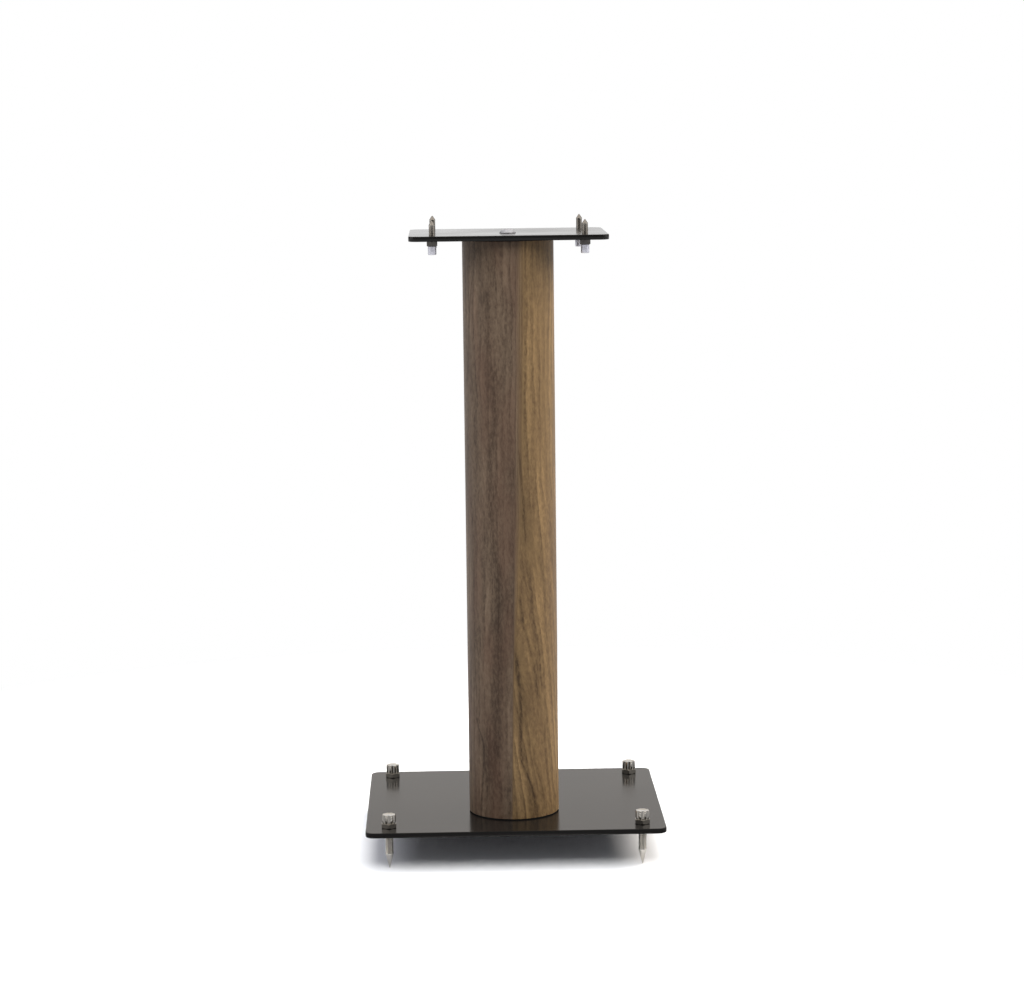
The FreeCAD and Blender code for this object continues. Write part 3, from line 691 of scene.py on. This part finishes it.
def hexNut(name, across, tall, bore, bevel, material, x, y, z):
    # both faces turned to a 30 degree chamfer, so that the flats end in arcs
    cornerReach = across / 2 / math.cos(math.pi / 6)
    slope = math.tan(math.radians(30))
    rows = [(bore, 0.5 * bevel, None), (bore + 0.5 * bevel, 0, None)]
    cone = [(cornerReach - (bevel - h) / slope, h) for h in [bevel * k / 8 for k in range(9)]]
    rows += [(radius, height, across) for radius, height in cone]
    rows += [(radius, tall - height, across) for radius, height in reversed(cone)]
    rows += [(bore + 0.5 * bevel, tall, None), (bore, tall - 0.5 * bevel, None),
             (bore, 0.5 * bevel, None)]
    nut = meshObject(name, *turnedRows(rows), material, sharpAngle=24)
    return movedTo(nut, x, y, z)


keyLook = {"radius": 4.0, "tall": 7.98, "bore": 3.06, "boreFrom": 4.0, "key": 4.0, "keyDeep": 2.5}
pastKey = 9.0  # mm; a row this wide is cut all round by the key's hexagon


def keyHead(name, x, y, z):
    # a small round head, its foot face chamfered round a hexagon socket
    look = keyLook
    radius, tall, bore, inner = look["radius"], look["tall"], look["bore"], look["boreFrom"]
    rows = [(0, look["keyDeep"], None), (pastKey, look["keyDeep"], look["key"]),
            (pastKey, 0.15, look["key"]), (2.6, 0, None)]
    rows += [(radius - inset, height, None) for inset, height in (
        (0.5, 0), (0.25, 0.12), (0.07, 0.35), (0, 0.7), (0, 4.0), (0, 7.8), (0.15, tall))]
    rows += [(bore, tall, None), (bore, inner, None), (0, inner, None)]
    return movedTo(meshObject(name, *turnedRows(rows), mattZinc), x, y, z)


floorNut = {"across": 14.0, "tall": 5.0, "bore": 4.06, "bevel": 0.9}
pointNut = {"across": 10.0, "tall": 5.0, "bore": 3.06, "bevel": 0.7}
# heights in mm of each piece's foot, or of the tip of a speaker spike
footOf = {"floorRod": 0.0, "floorNut": 40.0, "floorHead": 45.0,
          "pointHead": 590.0, "pointNut": 598.0, "pointTip": 622.0}
for corner, (sideX, sideY) in corners.items():
    x, y = sideX * floorX, sideY * floorY
    label = "floor_spike_" + corner
    rod = spikeRod(label + "_look", floorRod, nickel, x, y, footOf["floorRod"], False)
    rideAndStandFor(rod, label + "_travel", label)
    head = flutedHead("floor_head_%s_look" % corner, x, y, footOf["floorHead"])
    rideAndStandFor(head, label + "_head", "floor_head_" + corner)
    nut = hexNut("floor_nut_%s_look" % corner, material=nutNickel, x=x, y=y,
                 z=footOf["floorNut"], **floorNut)
    rideAndStandFor(nut, "floor_nut_%s_turn" % corner, "floor_nut_" + corner)
    x, y = sideX * pointX, topMiddle + sideY * pointY
    label = "speaker_spike_" + corner
    rod = spikeRod(label + "_look", pointRod, zinc, x, y, footOf["pointTip"], True)
    rideAndStandFor(rod, label + "_travel", label)
    head = keyHead("speaker_head_%s_look" % corner, x, y, footOf["pointHead"])
    rideAndStandFor(head, label + "_head", "speaker_head_" + corner)
    nut = hexNut("speaker_nut_%s_look" % corner, material=darkNickel, x=x, y=y,
                 z=footOf["pointNut"], **pointNut)
    rideAndStandFor(nut, "speaker_nut_%s_turn" % corner, "speaker_nut_" + corner)
print("spikes, heads and nuts made")


# top bolt: a button head with a hexagon socket
boltLook = {"head": 8.0, "dome": 4.0, "rim": 0.5, "domeRadius": 10.0, "flat": 3.8,
            "key": 5.0, "keyDeep": 2.4, "shank": 3.98, "long": 21.0, "foot": 608.0}


def topBolt():
    look = boltLook
    top, head, ball, shank = look["dome"], look["head"], look["domeRadius"], look["shank"]
    rows = [(0, -look["long"], None), (shank - 0.58, -look["long"], None),
            (shank, 0.6 - look["long"], None), (shank, 0, None), (head - 0.3, 0, None),
            (head, 0.3, None), (head, look["rim"], None)]
    middle = look["rim"] - math.sqrt(ball ** 2 - head ** 2)  # height of the dome's centre
    for k in range(1, 10):
        radius = head + (look["flat"] - head) * k / 9
        rows.append((radius, middle + math.sqrt(ball ** 2 - radius ** 2), None))
    rows += [(3.2, top, None), (pastKey, top - 0.25, look["key"]),
             (pastKey, top - look["keyDeep"], look["key"]), (0, top - look["keyDeep"], None)]
    bolt = meshObject("top_bolt_look", *turnedRows(rows), satinZinc)
    movedTo(bolt, 0, columnY, look["foot"])
    rideAndStandFor(bolt, "stand", "top_bolt")


topBolt()


# foot screws: four countersunk screws on a ring, seen from below
def screwTree():
    tree, given = nodeTree("screw_ring", [
        ("Screw", "Geometry", None), ("Count", "Int", 4), ("Ring", "Float", screwRing * mm),
        ("Middle", "Vector", (0, 0, 0)), ("Material", "Material", None)])
    ring = addNode(tree, "GeometryNodeMeshCircle", {"Vertices": given["Count"], "Radius": given["Ring"]})
    ring = addNode(tree, "GeometryNodeTransform", {
        "Geometry": ring, "Translation": given["Middle"], "Rotation": (0, 0, math.pi / 4)})
    placed = addNode(tree, "GeometryNodeInstanceOnPoints", {"Points": ring, "Instance": given["Screw"]})
    closeTree(tree, placed, given["Material"])
    return tree


screwLook = {"head": 6.0, "shank": 3.0, "long": 20.0, "key": 4.0, "keyDeep": 2.0}


def footScrew():
    look = screwLook
    head, shank, tip = look["head"], look["shank"], look["long"]
    rows = [(0, look["keyDeep"], None), (pastKey, look["keyDeep"], look["key"]),
            (pastKey, 0.1, look["key"]), (2.5, 0, None), (head - 0.2, 0, None), (head, 0.12, None),
            (shank, head - shank, None), (shank, tip - 0.4, None), (shank - 0.4, tip, None),
            (0, tip, None)]
    return meshObject("foot_screw_blank", *turnedRows(rows, screwSteps), blackScrew)


screws = runTree("foot_screws_look", screwTree(), {
    "Count": len(corners), "Ring": screwRing * mm, "Material": blackScrew,
    "Middle": (0, columnY * mm, basePlate["foot"] * mm)}, base=footScrew())
sharpEdges(screws)
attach(screws, "stand")
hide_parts(*["foot_screw_" + corner for corner in corners])
print("bolt and screws made")

# the inner pieces keep their CAD shape
innerFinish = {"column_core": fibreboard, "foot_block": blockWood, "head_block": blockWood,
               "head_insert": brass, "foot_gasket": rubber, "head_gasket": rubber}
innerFinish.update({"foot_insert_" + corner: brass for corner in corners})
for node, material in innerFinish.items():
    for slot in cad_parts[node].material_slots:
        slot.material = material


# studio
studioLook = {
    "floorReach": 14.0,
    "nearFloor": 0.5, "farFloor": 1.0,  # metres from the middle over which the floor fades to white
    # painted reflection: the floor as gloss alone sees it, pale out to the first reach and mid grey past
    # the second, unlike the lit floor the camera sees
    "floorColour": "#a6a6a8", "paintedReflectionNear": "#f0f0f0", "paintedReflectionFar": "#828282",
    "paintedReflectionFrom": 0.19, "paintedReflectionTo": 0.26,
    "ambient": 0.30, "ambientTint": "#f0f2fb",
    # what gloss sees: strengths, and the bearings in radians where a panel starts, is full, and ends
    "dim": 0.14, "paper": 1.08, "paperHigh": 0.84, "paperTint": "#fff8f1",
    "paperSpan": (-1.0, -0.9, 0.50, 0.66), "paperLow": (0.09, 0.28),  # low: how steeply a ray climbs
    "softbox": 1.5, "softboxSpan": (1.15, 1.35, 2.0, 2.25),
    "roof": 1.0, "roofFrom": 0.62, "roofFull": 0.8,
}


def floorMaterial():
    # near the stand the camera sees the lit floor, which fades to plain white further off; gloss and
    # clear things see that white too. Nearer in, gloss sees a painted reflection: the lit floor is
    # painted pale close to the stand and mid grey further out, so nearby metal shows a painted bright
    # floor and the plate edges a painted dark one
    look = studioLook
    material, tree = newMaterial("white floor")
    rays = addNode(tree, "ShaderNodeLightPath")
    place = addNode(tree, "ShaderNodeTexCoord", out=3)
    reach = addNode(tree, "ShaderNodeVectorMath", [place], out=1, operation="LENGTH")
    far = addNode(tree, "ShaderNodeMapRange", [reach, look["nearFloor"], look["farFloor"]],
                  interpolation_type="SMOOTHSTEP")
    # painted reflection: for gloss only, the floor is painted pale close to the stand and mid grey
    # further out
    paintedReflectionMask = addNode(tree, "ShaderNodeMapRange", [reach, look["paintedReflectionFrom"], look["paintedReflectionTo"]],
                    interpolation_type="SMOOTHSTEP")
    paintedReflectionColour = addNode(tree, "ShaderNodeMix", {
        0: paintedReflectionMask, 6: linear(look["paintedReflectionNear"]), 7: linear(look["paintedReflectionFar"])}, out=2, data_type="RGBA")
    dull = addNode(tree, "ShaderNodeMix", {
        0: rays.node.outputs["Is Glossy Ray"], 6: linear(look["floorColour"]), 7: paintedReflectionColour},
        out=2, data_type="RGBA")
    shade = addNode(tree, "ShaderNodeMix", {0: rays, 6: dull, 7: (1, 1, 1, 1)}, out=2, data_type="RGBA")
    grit = addNode(tree, "ShaderNodeTexNoise", {"Vector": place, "Scale": 300.0, "Detail": 2.0})
    rough = addNode(tree, "ShaderNodeMapRange", [grit, 0.3, 0.7, 0.85, 0.95])
    lit = addNode(tree, "ShaderNodeBsdfDiffuse", {"Color": shade, "Roughness": rough})
    glow = addNode(tree, "ShaderNodeEmission", {"Color": (1, 1, 1, 1), "Strength": 1.0})
    seen = rays
    for ray in ("Is Glossy Ray", "Is Transmission Ray"):
        seen = addNode(tree, "ShaderNodeMath", [seen, rays.node.outputs[ray]], operation="MAXIMUM")
    blend = addNode(tree, "ShaderNodeMath", [far, seen], operation="MULTIPLY")
    mixed = addNode(tree, "ShaderNodeMixShader", [blend, lit, glow])
    addNode(tree, "ShaderNodeOutputMaterial", {"Surface": mixed})
    return material


reach = studioLook["floorReach"]
floorCorners = [(-reach, -reach, 0), (reach, -reach, 0), (reach, reach, 0), (-reach, reach, 0)]
floor = meshObject("studio_floor", floorCorners, [(0, 1, 2, 3)], floorMaterial())


def studioWorld():
    # the camera sees white; gloss sees a lit paper behind, soft boxes at both sides and a bright
    # roof, with a dim room between them; all else gets an even pale light
    look = studioLook
    world = bpy.data.worlds.new("studio")
    bpy.context.scene.world = world
    world.use_nodes = True
    tree = world.node_tree
    tree.nodes.clear()
    rays = addNode(tree, "ShaderNodeLightPath")
    direction = addNode(tree, "ShaderNodeTexCoord")
    x = addNode(tree, "ShaderNodeSeparateXYZ", [direction])
    y, z = x.node.outputs["Y"], x.node.outputs["Z"]
    bearing = addNode(tree, "ShaderNodeMath", [x, y], operation="ARCTAN2")
    bearing = addNode(tree, "ShaderNodeMath", [bearing], operation="ABSOLUTE")
    glow = look["dim"]
    low = addNode(tree, "ShaderNodeMapRange", [z, *look["paperLow"]], interpolation_type="SMOOTHSTEP")
    paper = addNode(tree, "ShaderNodeMapRange", [low, 0.0, 1.0, look["paper"], look["paperHigh"]])
    for span, level in ((look["paperSpan"], paper), (look["softboxSpan"], look["softbox"])):
        comes = addNode(tree, "ShaderNodeMapRange", [bearing, *span[:2]], interpolation_type="SMOOTHSTEP")
        goes = addNode(tree, "ShaderNodeMapRange", [bearing, *span[2:], level, 0.0],
                       interpolation_type="SMOOTHSTEP")
        panel = addNode(tree, "ShaderNodeMath", [comes, goes], operation="MULTIPLY")
        glow = addNode(tree, "ShaderNodeMath", [glow, panel], operation="MAXIMUM")
    roof = addNode(tree, "ShaderNodeMapRange", [z, look["roofFrom"], look["roofFull"], 0.0, look["roof"]],
                   interpolation_type="SMOOTHSTEP")
    glow = addNode(tree, "ShaderNodeMath", [glow, roof], operation="MAXIMUM")
    tint = addNode(tree, "ShaderNodeMix", {0: low, 6: (1, 1, 1, 1), 7: linear(look["paperTint"])},
                   out=2, data_type="RGBA")
    mirror = addNode(tree, "ShaderNodeBackground", {"Color": tint, "Strength": glow})
    ambient = addNode(tree, "ShaderNodeBackground", {
        "Color": linear(look["ambientTint"]), "Strength": look["ambient"]})
    white = addNode(tree, "ShaderNodeBackground", {"Color": (1, 1, 1, 1), "Strength": 1.0})
    mixed = addNode(tree, "ShaderNodeMixShader", [rays.node.outputs["Is Glossy Ray"], ambient, mirror])
    seen = addNode(tree, "ShaderNodeMath", [rays, rays.node.outputs["Is Transmission Ray"]],
                   operation="MAXIMUM")
    mixed = addNode(tree, "ShaderNodeMixShader", [seen, mixed, white])
    addNode(tree, "ShaderNodeOutputWorld", {"Surface": mixed})


studioWorld()

# lamps: where, what they face, size in metres, watts and colour
lamps = {
    "overhead": ((0.0, 0.1, 3.0), (0.0, 0.0, 0.0), (2.2, 2.2), 56.0, "#ffffff"),
    "front_top": ((0.1, -1.6, 1.97), (0.0, -0.04, 0.3), (1.6, 1.4), 34.0, "#ffffff"),
    "right_softbox": ((1.6, 0.32, 1.7), (0.0, -0.04, 0.4), (1.1, 1.1), 60.0, "#fff9f2"),
    "left_fill": ((-1.6, -0.3, 1.8), (0.0, -0.04, 0.4), (1.3, 1.3), 17.0, "#f2f4ff"),
}
for name, (where, target, size, watts, colour) in lamps.items():
    light = bpy.data.lights.new(name, "AREA")
    light.shape = "RECTANGLE"
    light.size, light.size_y = size
    light.energy = watts
    light.color = linear(colour)[:3]
    lamp = addObject(name, light)
    lamp.location = where
    lamp.rotation_euler = (Vector(target) - Vector(where)).to_track_quat("-Z", "Y").to_euler()
    lamp.visible_glossy = False  # the world's soft boxes stand for the lamps in reflections
print("studio made")

# camera, fitted to the photograph
cameraLook = {"place": (-59.03, -2747.0, 737.0), "yaw": 0.0223, "pitch": 0.1403, "roll": -0.0116,
              "focal": 2810.0, "frameWide": 1024.0, "clip": (0.05, 60.0)}  # mm, radians and pixels


def photoCamera():
    look = cameraLook
    yaw, pitch, roll = look["yaw"], look["pitch"], look["roll"]
    ahead = Vector((math.sin(yaw) * math.cos(pitch), math.cos(yaw) * math.cos(pitch), -math.sin(pitch)))
    right = Vector((math.cos(yaw), -math.sin(yaw), 0))
    above = right.cross(ahead)
    across = right * math.cos(roll) + above * math.sin(roll)
    above = above * math.cos(roll) - right * math.sin(roll)
    turn = Matrix((across, above, -ahead)).transposed().to_4x4()
    data = bpy.data.cameras.new("photo_camera")
    data.sensor_width = 36.0
    data.lens = look["focal"] / look["frameWide"] * data.sensor_width
    data.clip_start, data.clip_end = look["clip"]
    camera = addObject("photo_camera", data)
    camera.matrix_world = Matrix.Translation(Vector(look["place"]) * mm) @ turn
    bpy.context.scene.camera = camera


photoCamera()
bpy.context.scene.view_settings.view_transform = "Standard"
